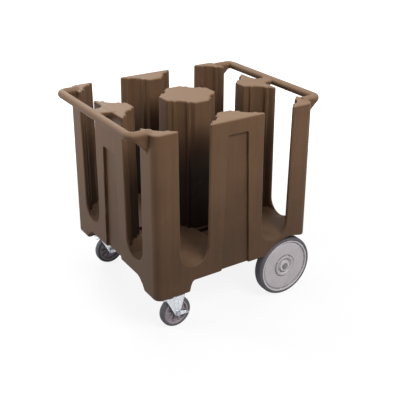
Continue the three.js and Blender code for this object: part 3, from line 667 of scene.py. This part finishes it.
def level_surface(shape: Field, axes: Sequence[Array]) -> Surface:
    """The surface where a distance is zero, as quads.

    Each grid cell with corners on both sides gets one point, the mean of where its edges cross zero, and
    each grid edge that crosses zero gets one quad between the four cells round it. The points then slide
    along the gradient until they lie on the surface.

    Args:
        shape: distance at arrays of x, y and z, negative inside.
        axes: grid places along X, Y and Z.

    Returns:
        The closed surface.
    """
    value = np.broadcast_to(shape(*np.ix_(*axes)), [len(places) for places in axes]).astype(np.float32)
    inside = value < 0
    corners = list(np.ndindex(2, 2, 2))
    nx, ny, nz = (size - 1 for size in value.shape)
    filled = sum(inside[i:nx + i, j:ny + j, k:nz + k].astype(np.int8) for i, j, k in corners)
    cells = np.argwhere((filled > 0) & (filled < 8))
    number = np.full((nx, ny, nz), -1)
    number[tuple(cells.T)] = np.arange(len(cells))
    total, crossings = np.zeros((len(cells), 3)), np.zeros(len(cells))
    for start in corners:
        for axis in (axis for axis in range(3) if not start[axis]):
            ends = [cells + np.array(start), cells + np.array(start) + np.eye(3, dtype=int)[axis]]
            fa, fb = (value[tuple(end.T)].astype(float) for end in ends)
            cross = (fa < 0) != (fb < 0)
            share = np.where(cross, fa / np.where(cross, fa - fb, 1), 0)
            for d, places in enumerate(axes):
                pa, pb = (places[end[:, d]] for end in ends)
                total[:, d] += np.where(cross, pa + share * (pb - pa), 0)
            crossings += cross
    quads: list[Array] = []
    for axis in range(3):
        one, two = (d for d in range(3) if d != axis)
        low = [slice(1, -1)] * 3
        high = list(low)
        low[axis], high[axis] = slice(0, -1), slice(1, None)
        rising = inside[tuple(low)]
        crossing = rising != inside[tuple(high)]
        ring = []
        for da, db in ((0, 0), (1, 0), (1, 1), (0, 1)):
            cell = np.argwhere(crossing)
            cell[:, one] += da
            cell[:, two] += db
            ring.append(number[tuple(cell.T)])
        faces = np.stack(ring, axis=1)
        back = rising[crossing] == (axis == 1)
        faces[back] = faces[back][:, ::-1]
        quads.append(faces)
    points, normals = settled(shape, total / crossings[:, None], 6)
    return Surface(points, np.concatenate(quads).tolist(), normals)


def grid_places(*runs: Triple) -> Array:
    """Grid places from runs of (start, end, longest step), each start being the end before it."""
    parts = [np.linspace(a, b, max(2, math.ceil((b - a) / step) + 1))[:-1] for a, b, step in runs]
    return np.concatenate(parts + [np.array([runs[-1][1]])])


# ---------- the moulded body


@dataclass(frozen=True)
class Gusset:
    """A support below the handle bar: a slanted face from the foot up, and flanks that widen upward."""

    foot: float
    rise: float
    slope: Pair
    half: float
    spread: float
    top: float
    top_edge: float
    start: float = 352
    edge: float = 5

    def distance(self, ax: Array, away: Array, z: Array) -> Array:
        """Distance to it, away being how far a point is from its middle plane."""
        slant = (ax - self.start) * self.slope[0] - (z - self.foot) * self.slope[1]
        half = self.half + self.spread * np.clip((z - self.foot) / self.rise, 0, 1)
        return overlap(overlap(slant, away - half, self.edge), z - self.top, self.top_edge)


@dataclass(frozen=True)
class Handle:
    """A handle: a round bar bent at two elbows, webs under its arms, a middle support with a deck on it."""

    wall: float = 350
    x: float = 410
    z: float = 813
    radius: float = 16.55
    arm_y: float = 297
    elbow: float = 24
    bar_root: float = 16
    web_root: float = 8
    web: Gusset = Gusset(750, 57, (0.738, 0.674), 8, 8, 818, 6)
    web_half: float = 15.5
    middle: Gusset = Gusset(754, 53, (0.725, 0.689), 14, 12, 816, 4)
    middle_end: float = 404
    deck_z: float = 811.6
    deck_half: float = 7
    deck_end: float = 405
    deck_width: float = 28
    flare: Triple = (16, 380, 30)

    def distance(self, ax: Array, ay: Array, z: Array) -> Array:
        """Distance to the handle: its bar is a circle round the plan line, cut off inside the wall."""
        plan = past_corner(ax - (self.x - self.elbow), ay - (self.arm_y - self.elbow)) - self.elbow
        bar_cut, web_cut = self.wall - self.bar_root - ax, self.wall - self.web_root - ax
        bar = np.maximum(np.sqrt(plan * plan + (z - self.z) ** 2) - self.radius, bar_cut)
        web = self.web.distance(ax, np.abs(ay - self.arm_y), z)
        web = np.maximum(overlap(web, plan - self.web_half, 5), web_cut)
        middle = np.maximum(self.middle.distance(ax, ay, z), np.maximum(ax - self.middle_end, web_cut))
        wider, start, run = self.flare
        width = self.deck_width + wider * np.clip((start - ax) / run, 0, 1) ** 2
        deck = overlap(ay - width, np.abs(z - self.deck_z) - self.deck_half, 4)
        deck = np.maximum(deck, np.maximum(ax - self.deck_end, bar_cut))
        return union(union(bar, web, 6), union(middle, deck, 5), 7)


@dataclass
class MouldedBody:
    """The one-piece moulding: base, nine posts, four columns, slots, recesses, feet and handles."""

    half: float = 350
    corner: float = 30
    top: float = 820
    skirt: float = 213
    pad: float = 282
    draft: float = 0.009
    edge: float = 6
    column: float = 184
    bore: float = 168
    rib: float = 7.5
    rib_foot: float = 3.3
    rib_crest: float = 1.3
    slot: float = 66
    slot_floor: float = 277
    slot_fall: float = 0.1
    passage: float = 181
    passage_half: float = 70
    pad_radius: float = 164
    groove: float = 18
    groove_inset: float = 6
    panel_depth: float = 12
    panel_low_half: float = 63
    side_panel: Pair = (762, 44)
    end_panel: Pair = (655, 49)
    foot: float = 166
    foot_length: float = 147
    foot_width: float = 101
    foot_height: float = 53
    foot_flare: Pair = (17, 54)
    handle: Handle = Handle()
    wheel_x: float = 260
    wheel_r: float = 127
    well_gap: float = 15
    well_roof: float = 258
    well_wall: float = 279.5
    reach: Pair = (436, 358)
    cell: float = 4.3
    levels: tuple[Triple, ...] = ((157, 236, 4.2), (236, 258, 5), (258, 292, 3.4), (292, 352, 6),
                                  (352, 640, 58), (640, 664, 4), (664, 724, 20), (724, 838, 3.8))
    faces: int = 190000

    def post_arcs(self) -> list[Pair]:
        """First and last angle of each post's side round a column, in degrees from the outward X axis."""
        offset = self.column - self.passage
        widths = (self.slot, self.passage_half - offset, self.passage_half + offset)
        slot, near, far = (math.degrees(math.asin(width / self.bore)) for width in widths)
        return [(slot, 90 - slot), (90 + slot, 180 - near), (180 + far, 270 - far), (270 + near, 360 - slot)]

    def ribs(self, dx: Array, dy: Array) -> Array:
        """Height of the upright ribs round a column: a flat crest with steep sides, two on each post side."""
        angle = np.degrees(np.arctan2(dy, dx))
        height = np.zeros(np.broadcast(dx, dy).shape)
        arcs = self.post_arcs()
        for centre in [start + share * (end - start) for start, end in arcs for share in (0.25, 0.75)]:
            away = np.abs((angle - centre + 180) % 360 - 180)
            climb = np.clip((self.rib_foot - away) / (self.rib_foot - self.rib_crest), 0, 1)
            height = height + climb * climb * (3 - 2 * climb)
        return self.rib * height

    def slot_air(self, across: Array, out: Array, z: Array, lean: Array) -> Array:
        """Distance to a side slot: a strip with a half-round bottom, open upward."""
        low_half = (self.slot - (self.top - self.slot_floor) * self.draft) / (1 - self.draft)
        centre = self.slot_floor + low_half
        level = z - self.slot_fall * np.maximum(self.half - out, 0)
        bowl = np.sqrt(across ** 2 + (level - centre) ** 2) - low_half
        shape = np.where(level > centre, across - (self.slot - lean), bowl)
        return np.maximum(shape, self.column - out)

    def air(self, ax: Array, ay: Array, z: Array) -> Array:
        """Distance to the room for the plates: four columns, eight slots, four passages with grooves."""
        lean = self.draft * (self.top - z)
        dx, dy = ax - self.column, ay - self.column
        r = np.sqrt(dx * dx + dy * dy)
        bore = r - (self.bore - lean) + self.ribs(dx, dy)
        columns = overlap(bore, self.pad - z, 7)
        slots = np.minimum(self.slot_air(np.abs(dx), ay, z, lean), self.slot_air(np.abs(dy), ax, z, lean))
        width = self.passage_half - lean
        strip = np.minimum(
            np.maximum(np.abs(ay - self.passage) - width, ax - self.column),
            np.maximum(np.abs(ax - self.passage) - width, ay - self.column),
        )
        passages = overlap(strip, self.pad - z, 5)
        grooves = overlap(strip + self.groove_inset, self.pad_radius - r, 4)
        grooves = overlap(grooves, self.pad - self.groove - z, 5)
        return union(union(columns, slots, 6), np.minimum(passages, grooves), 4)

    def recess(self, across: Array, out: Array, z: Array, top: float, top_half: float) -> Array:
        """Distance to a recess in an outer face: a strip that widens downward, with a flat back."""
        share = np.clip((top - z) / (top - self.skirt), 0, 1.1)
        half = top_half + (self.panel_low_half - top_half) * share
        outline = overlap(across - half, z - top, 2.5)
        return overlap(outline, self.half - self.panel_depth - out, 2)

    def under_air(self, x: Array, ay: Array, z: Array) -> Array:
        """Distance to the air below the skirt: all of it but the two feet, which flare in a curve upward."""
        share = np.clip((z - self.foot) / self.foot_height, 0, 1) ** 2
        longer, wider = self.foot_flare
        along = x - (-self.half + self.foot_length + longer * share)
        across = (self.half - self.foot_width - wider * share) - ay
        return overlap(z - self.skirt, -overlap(along, across, 22), 6)

    def wells(self, x: Array, ay: Array, z: Array) -> Array:
        """Distance to the wheel wells: an arch about the axle, open to the rear, with a flat inner wall."""
        arch = np.sqrt((x - self.wheel_x) ** 2 + (z - self.wheel_r) ** 2) - (self.wheel_r + self.well_gap)
        rear = np.maximum(self.wheel_x - x, z - self.well_roof)
        return overlap(union(arch, rear, 8), self.well_wall - ay, 8)

    def distance(self, x: Array, y: Array, z: Array) -> Array:
        """Distance to the whole moulding, negative in the plastic."""
        ax, ay = np.abs(x), np.abs(y)
        arc = self.half - self.corner
        block = overlap(past_corner(ax - arc, ay - arc) - self.corner, z - self.top, self.edge)
        block = overlap(block, self.foot - z, 11)
        block = overlap(block, -self.under_air(x, ay, z), 6)
        solid = overlap(block, -self.air(ax, ay, z), self.edge)
        side = self.recess(ax, ay, z, *self.side_panel)
        end = self.recess(ay, ax, z, *self.end_panel)
        solid = overlap(solid, -np.minimum(side, end), 2)
        solid = union(solid, self.handle.distance(ax, ay, z), 7)
        return overlap(solid, -self.wells(x, ay, z), 5)

    def build(self, finish: Material) -> None:
        """Makes the body, thins its flat areas and settles every point on the true shape again.

        Args:
            finish: the brown plastic.
        """
        plan = [grid_places((-reach, reach, self.cell)) for reach in self.reach]
        raw = level_surface(self.distance, plan + [grid_places(*self.levels)])
        piece = raw.to_object("moulded_body_skin", finish)
        thin = piece.modifiers.new("thin_flats", "DECIMATE")
        thin.ratio = min(1.0, self.faces / (2 * len(raw.faces)))
        graph = bpy.context.evaluated_depsgraph_get()
        mesh = bpy.data.meshes.new_from_object(piece.evaluated_get(graph))
        piece.modifiers.clear()
        piece.data, old = mesh, piece.data
        bpy.data.meshes.remove(old)
        points = np.empty(len(mesh.vertices) * 3)
        mesh.vertices.foreach_get("co", points)
        points, normals = settled(self.distance, points.reshape(-1, 3) / MM, 2)
        mesh.vertices.foreach_set("co", (points * MM).reshape(-1))
        smooth(mesh, normals)
        mesh.name = piece.name
        hand_over(piece, "cart_frame", "moulded_body")


# ---------- rear wheels


@dataclass
class RearWheel:
    """A large fixed wheel: tyre, disc with a stepped hub, and the cap on the axle's end."""

    side: Side
    radius: float = 127
    width: float = 43
    tread: float = 14
    bore: float = 12.8
    x: float = 260
    y: float = 316

    def tyre(self) -> Surface:
        """The tyre: a flat tread with round shoulders and a small bead groove on each side."""
        half, r = self.width / 2, self.radius
        return turned(both_sides([
            (r - self.tread + 0.3, 0.2 - half, 1), (r - 9, -half, 1.5), (r - 8, 0.8 - half, 0.6),
            (r - 3, 3 - half, 4), (r, 9 - half, 6),
        ]), 128)

    def disc(self) -> Surface:
        """The disc: rim lip, sunk face with a step ring, hub ring, boss and bore."""
        half, rim, bore = self.width / 2, self.radius - self.tread, self.bore
        face = half - 4
        return turned([
            (bore, -half - 6, 0.8), (21, -half - 6, 1.5), (24, face - 14, 3), (rim - 10, face - 14, 3),
            (rim - 8, 2 - half, 1.5), (rim, 2 - half, 0.8), (rim, half - 1, 1), (rim - 5.2, half - 1, 2),
            (rim - 6.5, face - 3.4, 1), (rim - 11, face - 3.4, 1), (rim - 13, face, 1.2),
            (50, face - 0.4, 1.5), (48, face - 3.2, 1), (45, face - 3.2, 1), (43, face + 2.8, 1.4),
            (36, face + 2.8, 1.8), (31.5, face - 3.6, 2), (25, face - 3.6, 1.6), (22, face + 2.9, 1.4),
            (bore, face + 2.9, 0.8),
        ], 128)

    def cap(self) -> Surface:
        """The axle cap: a hollow push-on cap with a flat rim, a low dome and a dimple."""
        base = self.width / 2 - 0.7
        return turned([
            (0.5, base + 4.1, 0), (8.3, base + 4.1, 0.5), (8.3, base, 0.3), (12, base, 0.3),
            (12, base + 2, 0.6), (10.2, base + 2.4, 0.8), (9.2, base + 6.6, 1.4), (6.6, base + 7, 0.6),
            (5.6, base + 4.9, 0.4), (0.5, base + 4.8, 0),
        ], 48, ring=False)

    def build(self, looks: dict[str, Material]) -> None:
        """Makes the wheel's pieces, each with its own +Y turned to the outer side of the cart.

        Args:
            looks: the finishes by name.
        """
        name, sign = self.side.name.lower(), self.side.value
        wheel = f"rear_wheel_{name}"
        for label, surface, look, slot, body in (
            ("tyre", self.tyre(), "tyre_rubber", "tyre_rubber", wheel),
            ("disc", self.disc(), "wheel_grey", "wheel_grey", wheel),
            ("axle_cap", self.cap(), "worn_zinc", "zinc", "cart_frame"),
        ):
            surface = surface.scaled(sign, sign, 1).moved(self.x, sign * self.y, self.radius)
            hand_over(surface.to_object(f"rear_{label}_{name}", looks[look]), body, f"{wheel}_{label}")


# ---------- casters


@dataclass
class Caster:
    """A swivel caster with its fork, wheel, race, plate, axle and brake lever."""

    side: Side
    x: float = -270
    y: float = 286
    trail: float = 33
    radius: float = 63.5
    width: float = 30
    tread_depth: float = 12
    spokes: int = 10
    foot: float = 166
    race_z: Pair = (146.3, 161.4)
    bore: float = 6.3
    crown: float = 134
    sheet: float = 3
    leg_gap: float = 3
    front: float = 33
    rear: float = 68
    leg_front: float = 17
    leg_end: float = 11.5
    lever: Pair = (43, -7)
    lever_eye: float = 11.5
    lever_end: float = 5
    head: float = 10
    head_height: float = 7
    gap: float = 0.3

    @property
    def leg_outer(self) -> float:
        """Outer face of a leg, from the wheel's middle."""
        return self.width / 2 + self.leg_gap + self.sheet

    def leg(self) -> Array:
        """Outline of a fork leg: a straight top whose sides run as tangents to a round lower end.

        A tangent from a point touches the circle at the angle toward the point plus or minus the arc cosine
        of radius over distance; the arc between the two touching points is drawn at even angles.

        Returns:
            Points of the outline, counter-clockwise seen from -Y.
        """
        top, cx, cz = self.crown + self.sheet - 0.6, self.trail, self.radius
        first, last = (
            math.atan2(top - cz, x - cx) + sign * math.acos(self.leg_end / math.hypot(x - cx, top - cz))
            for x, sign in ((-self.leg_front, 1), (self.rear, -1))
        )
        arc = np.array([cx, cz]) + self.leg_end * circle(np.linspace(first, last + TURN, 15))
        return np.concatenate([[(-self.leg_front, top)], arc, [(self.rear, top)]])

    def fork(self) -> Surface:
        """The pressed fork: two tapered legs, a crown with round edges and a round seat for the race."""
        top, outer, bore = self.crown + self.sheet, self.leg_outer, self.bore
        parts = [prism(self.leg(), low, low + self.sheet, 0.9) for low in (-outer, outer - self.sheet)]
        bead = box(16.5, 82, 22.5, 128, 2.2)
        button = turned([(3.4, -0.5, 0.2), (6.4, -0.5, 0.2), (6.4, 1.5, 1), (3.4, 1.5, 0.6)], 32)
        for low, side in ((-outer - 1.5, -1), (outer - 0.5, 1)):
            parts.append(prism(bead, low, low + 2, 0.9))
            parts.append(outward(button.scaled(1, side, 1).moved(40, side * outer, 116)))
        rim = crowded(box(-self.front, -outer, self.rear, outer, 4), 3)
        seat = turned([
            (bore, top - 1.5, 0.3), (33, top - 1.5, 0.5), (33, top + 2, 1.5), (31, top + 6, 2.5),
            (27, top + 9, 1.5), (bore, top + 9, 0.3),
        ], 72)
        return merged([prism(rim, self.crown, top, 1.2, hole=bore).upright(), seat.upright()] + parts)

    def race(self) -> Surface:
        """The swivel race: a turned ring with a groove round its middle."""
        low, high = self.race_z
        return turned([
            (self.bore, low, 0.3), (25, low, 1), (29.6, low + 3.5, 2.5), (29.8, low + 7, 1),
            (28.2, low + 7.8, 0.6), (29.8, low + 8.6, 1), (29.8, high - 3, 2), (27, high, 1),
            (self.bore, high, 0.3),
        ], 72).upright()

    def plate(self) -> Surface:
        """The top plate: a flat plate with round corners and soft edges."""
        return prism(box(-47, -31, 47, 31, 8), self.foot - 4.3, self.foot - self.gap, 0.8).upright()

    def tread(self) -> Surface:
        """The tread: a solid tyre with a slightly crowned face."""
        half, r = self.width / 2, self.radius
        return turned(both_sides([
            (r - self.tread_depth + 0.3, -half, 0.8), (r - 6.5, -half, 1.5), (r - 2, 2.5 - half, 3.5),
            (r, 8 - half, 5),
        ]))

    def core(self) -> Surface:
        """The wheel core: rim, deep web, hub, and short spokes that stand on both sides of the web."""
        half, rim = self.width / 2, self.radius - self.tread_depth
        parts = [turned(both_sides([
            (8.8, -half - 1, 0.4), (13.8, -half - 1, 0.8), (15, -3, 2), (rim - 9, -3, 2),
            (rim - 6.5, 1.5 - half, 1), (rim, 1.5 - half, 0.6),
        ]))]
        bar = box(12, -1.7, rim - 6, 1.7)
        for angle in np.linspace(0, TURN, self.spokes, endpoint=False):
            cosine, sine = math.cos(angle), math.sin(angle)
            outline = bar @ np.array([[cosine, sine], [-sine, cosine]])
            parts += [prism(outline, 4.5 - half, -2, 0.9), prism(outline, 2, half - 4.5, 0.9)]
        return merged(parts)

    def brake(self) -> Surface:
        """The brake lever: an eye on the axle, an arm that narrows to a round end, a ribbed tread plate.

        The arm's sides are the tangents shared by the eye and the end: they touch both circles at the
        angle of the line between the middles plus or minus the arc cosine of (eye - end) over distance.

        Returns:
            The lever, with its eye at the origin.
        """
        near = -self.leg_outer - self.gap
        far = near - self.sheet
        (x, z), eye, tip = self.lever, self.lever_eye, self.lever_end
        toward = math.atan2(z, x)
        spread = math.acos((eye - tip) / math.hypot(x, z))
        inner = circle(np.linspace(toward + spread, toward - spread, 13))
        outer = circle(np.linspace(toward - spread, toward + spread, 13))
        root = (eye - 2.6) * inner
        arm = np.concatenate([eye * inner[:1], root, eye * inner[-1:], np.array([x, z]) + tip * outer])
        ring = turned([(5.8, far, 0.3), (eye, far, 0.8), (eye, near, 0.8), (5.8, near, 0.3)], 48)
        top, end = z + tip - 0.75, x + tip / 2
        pad = box(end - 14, top - 3, end, top, 1)
        parts = [ring, prism(arm, far, near, 0.7), prism(pad, far - 8, near - 1.5, 0.8)]
        for step in range(4):
            low = end - 12.4 + 3.2 * step
            high = low + 1.4
            corners = [(low, -0.4, 0.3), (high, -0.4, 0.3), (high, 0.7, 0.4), (low, 0.7, 0.4)]
            rib = softened([(across, top + up, radius) for across, up, radius in corners], True, 2)
            parts.append(prism(rib, far - 7.2, far - 0.6, 0.3, 2))
        return merged(parts)

    def hexagon(self, low: float) -> Surface:
        """A hexagon head or nut along Y with chamfered corners, from low upward."""
        rim = self.head * circle(np.linspace(0, TURN, 6, endpoint=False))[::-1, ::-1]
        return prism(rim, low, low + self.head_height, 0.9)

    def bolt(self) -> Surface:
        """The axle bolt: its head beside the lever and a plain shank through both legs."""
        under = -self.leg_outer - self.sheet - 2 * self.gap
        end = self.leg_outer + 9
        shank = [(0.5, under - 4, 0), (5.5, under - 4, 0), (5.5, end, 1), (0.5, end + 0.3, 0)]
        return merged([self.hexagon(under - self.head_height), turned(shank, 32, ring=False)])

    def build(self, looks: dict[str, Material]) -> None:
        """Makes the caster's pieces.

        Args:
            looks: the finishes by name.
        """
        name = self.side.name.lower()
        swivel, wheel, lever = (f"caster_{name}_{part}" for part in ("swivel", "wheel", "lever"))
        y = self.side.value * self.y
        pivot, axle = (self.x, y, 0), (self.x + self.trail, y, self.radius)
        for label, surface, place, slot, body in (
            ("top_plate", self.plate(), pivot, "zinc", "cart_frame"),
            ("swivel_race", self.race(), pivot, "zinc", "cart_frame"),
            ("fork", self.fork(), pivot, "zinc", swivel),
            ("tread", self.tread(), axle, "tyre_rubber", wheel),
            ("wheel_core", self.core(), axle, "caster_grey", wheel),
            ("axle_bolt", self.bolt(), axle, "bolt_steel", swivel),
            ("axle_nut", self.hexagon(self.leg_outer + self.gap), axle, "bolt_steel", swivel),
            ("brake_lever", self.brake(), axle, "zinc", lever),
        ):
            piece = surface.moved(*place).to_object(f"caster_{label}_{name}", looks[slot])
            hand_over(piece, body, f"caster_{name}_{label}")


# ---------- studio


@dataclass
class Studio:
    """Floor, backdrop, lamps, world and the camera of the picture."""

    azimuth: float = -32.30
    elevation: float = 22.55
    lens: float = 65.73
    shift: Pair = (0.0138, -0.0988)
    place: Triple = (-1.4452, -2.3390, 1.6775)
    ambient: float = 0.12
    floor_share: float = 0.58
    floor_white: float = 1.5
    floor_tones: tuple[Triple, Triple] = ((160, 160, 161), (154, 154, 154))
    floor_fade: Pair = (0.8, 3.6)
    floor_reach: float = 30
    aim: Triple = (0, 0, 0.45)
    lamps: tuple[tuple[str, Triple, float, float], ...] = (
        ("key_lamp", (0.3, -2.5, 2.9), 1.3, 68),
        ("top_lamp", (-0.2, 0.2, 3.2), 1.5, 29),
        ("side_lamp", (-1.8, 0.9, 0.9), 0.8, 14),
        ("back_lamp", (0.3, 2.9, 1.8), 1.5, 42),
    )

    def camera(self) -> None:
        """Sets the camera where the picture was taken from, with its frame shifted down as there."""
        data = bpy.data.cameras.new("picture_camera")
        data.sensor_width = 36
        data.lens = self.lens
        data.shift_x, data.shift_y = self.shift
        data.clip_start, data.clip_end = 0.05, 60
        camera = placed("picture_camera", data)
        camera.location = self.place
        camera.rotation_euler = (math.radians(90 - self.elevation), 0, math.radians(self.azimuth))
        bpy.context.scene.camera = camera

    def floor(self) -> None:
        """Lays a pale floor that camera, metal and glass see as white while it keeps a soft shadow.

        Near the cart part of its own lit surface, with the shadow, shows through; further out none does.
        """
        sheet, point = blank("pale_floor")
        x, y, _ = sheet.split(point)
        away = (x * x + y * y).between(*self.floor_fade)
        color = sheet.mix(sheet.noise(point, 3).between(0.3, 0.7), *self.floor_tones)
        base = sheet.add("BsdfPrincipled", {"Base Color": color, "Roughness": 0.9})
        white = sheet.add("Emission", {"Color": WHITE, "Strength": self.floor_white})
        share = sheet.seen() * (away * (1 - self.floor_share) + self.floor_share)
        sheet.add("OutputMaterial", {"Surface": sheet.add("MixShader", {0: share, 1: base, 2: white})})
        reach = self.floor_reach / MM
        points = np.insert(box(-reach, -reach, reach, reach), 2, 0, axis=1)
        floor = Surface(points, [[0, 1, 2, 3]]).to_object("studio_floor", sheet.owner)

    def world(self) -> None:
        """Gives an even soft light, and white where the camera, metal or glass looks past the cart."""
        world = bpy.data.worlds.new("studio")
        bpy.context.scene.world = world
        sheet = NodeSheet(world)
        soft = sheet.add("Background", {"Color": WHITE, "Strength": self.ambient})
        white = sheet.add("Background", {"Color": WHITE, "Strength": 1})
        sheet.add("OutputWorld", {"Surface": sheet.add("MixShader", {0: sheet.seen(), 1: soft, 2: white})})

    def light(self) -> None:
        """Hangs the square soft lamps, each a row of name, place, side and watts, all facing the cart."""
        for name, place, size, power in self.lamps:
            data = bpy.data.lights.new(name, "AREA")
            data.shape = "SQUARE"
            data.size = size
            data.energy = power
            lamp = placed(name, data)
            lamp.location = place
            lamp.rotation_euler = (Vector(self.aim) - Vector(place)).to_track_quat("-Z", "Y").to_euler()

    def build(self) -> None:
        """Sets up the whole studio."""
        self.camera()
        self.floor()
        self.world()
        self.light()
        bpy.context.scene.view_settings.view_transform = "Standard"


def dress_nodes(looks: dict[str, Material]) -> None:
    """Gives every CAD node the finish of its slot in the record."""
    slots = {row["node"]: row["material_slot"] for row in frame["record"]["subparts"]}
    for name, node in frame["nodes"].items():
        node.data.materials.clear()
        node.data.materials.append(looks[slots[name]])


def main() -> None:
    """Builds the cart piece by piece and hands it over."""
    logging.basicConfig(level=logging.INFO, format="%(name)s %(message)s")
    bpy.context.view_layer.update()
    # radii in metres of rings darker in the grooves
    wheel_groove_rings = ((0.1025, 0.1072), (0.0435, 0.0490), (0.0245, 0.0315))
    # radii in metres of pale rings: a painted highlight on the rim lip and a ring of wear round the bore
    wheel_highlight_and_wear = ((0.1078, 0.1150), (0.0150, 0.0222))
    looks = {
        "brown_moulding": MouldedPlastic().build(),
        "tyre_rubber": TyreRubber().build(),
        "wheel_grey": WheelPlastic(groove_rings=wheel_groove_rings, highlight_and_wear_rings=wheel_highlight_and_wear).build(),
        "caster_grey": WheelPlastic((188, 177, 182), (156, 145, 151), 0.4, "caster_plastic").build(),
        "zinc": PlatedSteel().build(),
        "bolt_steel": PlatedSteel((190, 193, 197), (150, 153, 158), 0.32, "bolt_steel").build(),
        "nylon": SleeveNylon().build(),
        "worn_zinc": PlatedSteel((146, 143, 146), (98, 95, 98), 0.34, "worn_zinc").build(),
    }
    Studio().build()
    dress_nodes(looks)
    MouldedBody().build(looks["brown_moulding"])
    for side in Side:
        RearWheel(side).build(looks)
        Caster(side).build(looks)


if __name__ == "__main__":
    main()
